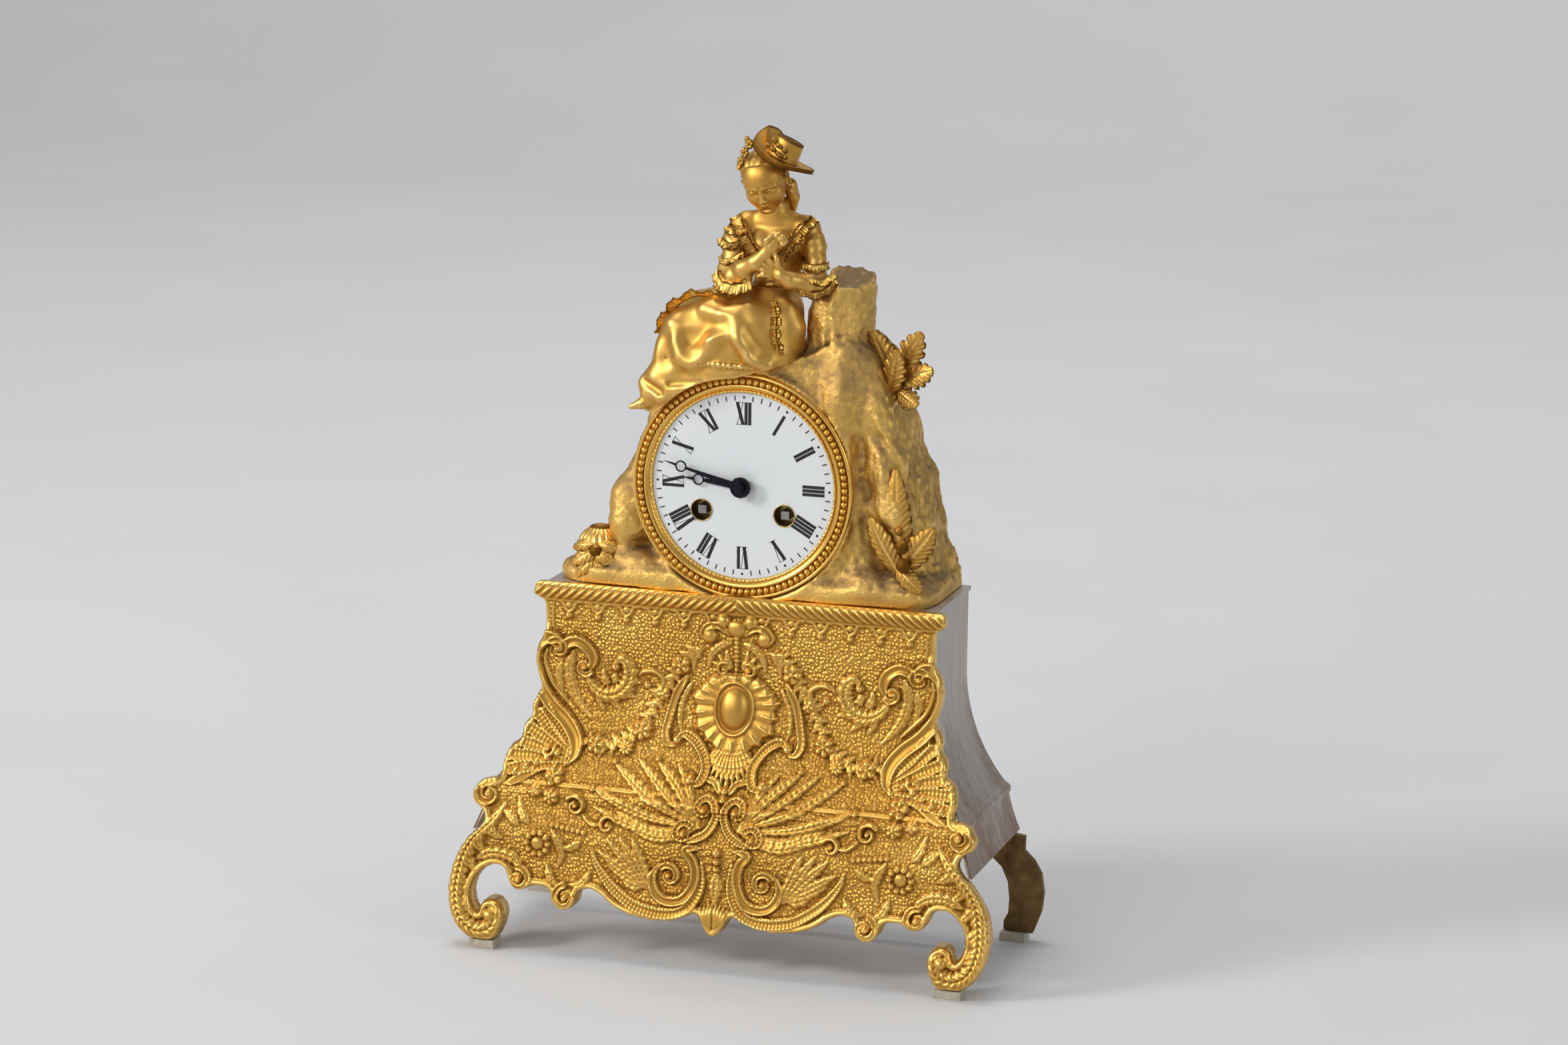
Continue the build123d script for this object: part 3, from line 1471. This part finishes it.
pin_ring = 8.5
pin_count = 10
pin_length = 1.4
with BuildPart() as pin_wheel:
    arbor(pin_place, arbor_radius, pivot_radius)
    pinion(pin_place, second_leaves, strike_second_module, pin_phase, second_front)
    arms(pin_place, pin_teeth, pin_module, pin_phase, pin_front, 3 * arbor_radius)
    for i in range(pin_count):
        place = beside(pin_place, pin_ring, 360 / pin_count * i)
        with Locations((place[0], pin_front + wheel_sheet + pin_length / 2, dial_height + place[1])):
            Box(slim_arbor, pin_length, slim_arbor)
write(pin_wheel.part, "pin_wheel")

with BuildPart() as locking_wheel:
    arbor(locking_place, slim_arbor, slim_pivot)
    pinion(locking_place, third_leaves, pin_module, locking_phase, pin_front)
    arms(locking_place, locking_teeth, locking_module, locking_phase, locking_front, 4 * slim_arbor)
write(locking_wheel.part, "locking_wheel")

with BuildPart() as warning_wheel:
    arbor(warning_place, slim_arbor, slim_pivot)
    pinion(warning_place, third_leaves, locking_module, warning_phase, locking_front)
    arms(warning_place, warning_teeth, warning_module, warning_phase, warning_front, 4 * slim_arbor)
write(warning_wheel.part, "warning_wheel")

with BuildPart() as fly:
    arbor(fly_place, slim_arbor, slim_pivot)
    pinion(fly_place, third_leaves, warning_module, fly_phase, warning_front)
    with Locations((fly_place[0], fly_front + fly_depth / 2, dial_height + fly_place[1])):
        Box(2 * fly_radius, fly_depth, fly_sheet)
write(fly.part, "fly")

# Hammer, bell and stand behind the back plate

hammer_head = (-24.0, 11.5)
hammer_head_radius = 2.0
hammer_head_back = 39.4
hammer_arm_front = 33.0
hammer_arm_sheet = 1.2
hammer_arm_width = 2.4
with BuildPart() as hammer:
    arbor(hammer_place, arbor_radius, pivot_radius, back=hammer_arm_front + hammer_arm_sheet)
    reach = math.hypot(hammer_head[0] - hammer_place[0], hammer_head[1] - hammer_place[1])
    along = ((hammer_head[0] - hammer_place[0]) / reach, 0, (hammer_head[1] - hammer_place[1]) / reach)
    with BuildSketch(
        Plane(
            origin=(hammer_place[0], hammer_arm_front + hammer_arm_sheet, dial_height + hammer_place[1]),
            x_dir=along,
            z_dir=(0, -1, 0),
        )
    ):
        Circle(hammer_arm_width)
        with Locations((reach / 2, 0)):
            Rectangle(reach, hammer_arm_width)
    extrude(amount=hammer_arm_sheet)
    disc(hammer_head, hammer_head_radius, hammer_arm_front, hammer_head_back)
write(hammer.part, "hammer")

# Each ring of the bell: its place from rim to crown and its radius, as shares
bell_shares = [(0.0, 1.0), (0.55, 0.74), (0.88, 0.4), (1.0, 0.16)]


def bell_cup(inset, rim):
    """The bell's outer or inner form, drawn in by inset."""
    with BuildPart() as cup:
        for share_y, share_r in bell_shares:
            depth = rim + share_y * (bell_crown - inset - rim)
            with BuildSketch(front_view(depth, 0, dial_height)):
                RegularPolygon(share_r * (bell_radius - inset), bell_flats)
        loft(ruled=True)
    return cup.part


with BuildPart() as bell:
    add(bell_cup(0, bell_rim))
    add(bell_cup(bell_wall, bell_rim - running), mode=Mode.SUBTRACT)
    disc(centre, cannon_radius, bell_rim, bell_crown + overrun, Mode.SUBTRACT)
write(bell.part, "bell")

stand_place = (14.0, -14.0)
stand_radius = 1.8
stand_arm_front = 40.0
stand_arm_sheet = 2.0
bell_screw_head = 3.0
bell_screw_rise = 1.5
with BuildPart() as bell_stand:
    disc(stand_place, stand_radius, plate_back_face, stand_arm_front + stand_arm_sheet)
    span = math.hypot(*stand_place)
    with BuildSketch(
        Plane(
            origin=(0, stand_arm_front + stand_arm_sheet, dial_height),
            x_dir=(stand_place[0] / span, 0, stand_place[1] / span),
            z_dir=(0, -1, 0),
        )
    ):
        with Locations((span / 2, 0)):
            Rectangle(span, 2 * stand_radius)
        Circle(stand_radius)
    extrude(amount=stand_arm_sheet)
    disc(centre, stand_radius, stand_arm_front, bell_crown - bell_wall - end_shake)
    disc(centre, cannon_radius - running, stand_arm_front, bell_crown)
    disc(centre, bell_screw_head, bell_crown, bell_crown + bell_screw_rise)
write(bell_stand.part, "bell_stand")

# Suspension cock and the pendulum that hangs in it

cheek_sheet = 1.2
cock_width = 10.0
cock_height = 6.4
hook_radius = 1.8
hook_half = rod_radius
cock_pin_radius = 0.6
with BuildPart() as suspension_cock:
    cheek_back = pendulum_plane + hook_half + end_shake + cheek_sheet
    with Locations((0, (plate_back_face + cheek_back) / 2, dial_height + pendulum_pivot_rise + cock_height / 2)):
        Box(cock_width, cheek_back - plate_back_face, cock_height)
    with Locations((0, pendulum_plane, dial_height + pendulum_pivot_rise)):
        Box(2 * cock_width, 2 * (hook_half + end_shake), 2 * (hook_radius + end_shake), mode=Mode.SUBTRACT)
    with Locations(
        (0, (plate_back_face + crutch_back + end_shake) / 2, dial_height + pendulum_pivot_rise)
    ):
        Box(
            2 * cock_width,
            crutch_back + end_shake - plate_back_face,
            2 * (crutch_width + end_shake),
            mode=Mode.SUBTRACT,
        )
    for back in (pendulum_plane - hook_half - end_shake, cheek_back):
        with BuildSketch(front_view(back, 0, dial_height + pendulum_pivot_rise)):
            Circle(hook_radius)
            with Locations((0, hook_radius)):
                Rectangle(2 * hook_radius, 2 * hook_radius)
        extrude(amount=back - (pendulum_plane + hook_half + end_shake) if back == cheek_back else slim_arbor)
    disc(
        (0.0, pendulum_pivot_rise),
        cock_pin_radius,
        pendulum_plane - hook_half - end_shake - slim_arbor,
        cheek_back,
    )
write(suspension_cock.part, "suspension_cock")

bob_place = (0.0, pendulum_pivot_rise - bob_drop)
rod_end_drop = bob_drop + bob_radius + rod_spare
with BuildPart() as pendulum_rod:
    disc((0.0, pendulum_pivot_rise), hook_radius, pendulum_plane - hook_half, pendulum_plane + hook_half)
    with BuildSketch(Plane.XY.offset(dial_height + pendulum_pivot_rise - rod_end_drop)):
        with Locations((0, pendulum_plane)):
            RegularPolygon(rod_radius, flats[0][1])
    extrude(amount=rod_end_drop)
    disc(
        (0.0, pendulum_pivot_rise),
        cock_pin_radius + running,
        pendulum_plane - hook_half - overrun,
        pendulum_plane + hook_half + overrun,
        Mode.SUBTRACT,
    )
write(pendulum_rod.part, "pendulum_rod")

bob_shares = [(-1.0, 0.6), (-0.6, 0.9), (0.0, 1.0), (0.6, 0.9), (1.0, 0.6)]
nut_height = 3.0
rating_radius = 3.5
with BuildPart() as pendulum_bob:
    for share_y, share_r in bob_shares:
        depth = pendulum_plane + share_y * bob_thickness / 2
        with BuildSketch(front_view(depth, bob_place[0], dial_height + bob_place[1])):
            RegularPolygon(share_r * bob_radius, bob_flats)
    loft(ruled=True)
    with BuildSketch(Plane.XY.offset(dial_height + bob_place[1] - 2 * bob_radius)):
        with Locations((0, pendulum_plane)):
            RegularPolygon(rod_radius, flats[0][1])
    extrude(amount=4 * bob_radius, mode=Mode.SUBTRACT)
write(pendulum_bob.part, "pendulum_bob")

with BuildPart() as rating_nut:
    with BuildSketch(Plane.XY.offset(dial_height + bob_place[1] - bob_radius - nut_height)):
        with Locations((0, pendulum_plane)):
            RegularPolygon(rating_radius, flats[1][1])
            RegularPolygon(rod_radius + running, flats[0][1], major_radius=False, mode=Mode.SUBTRACT)
    extrude(amount=nut_height)
write(rating_nut.part, "rating_nut")
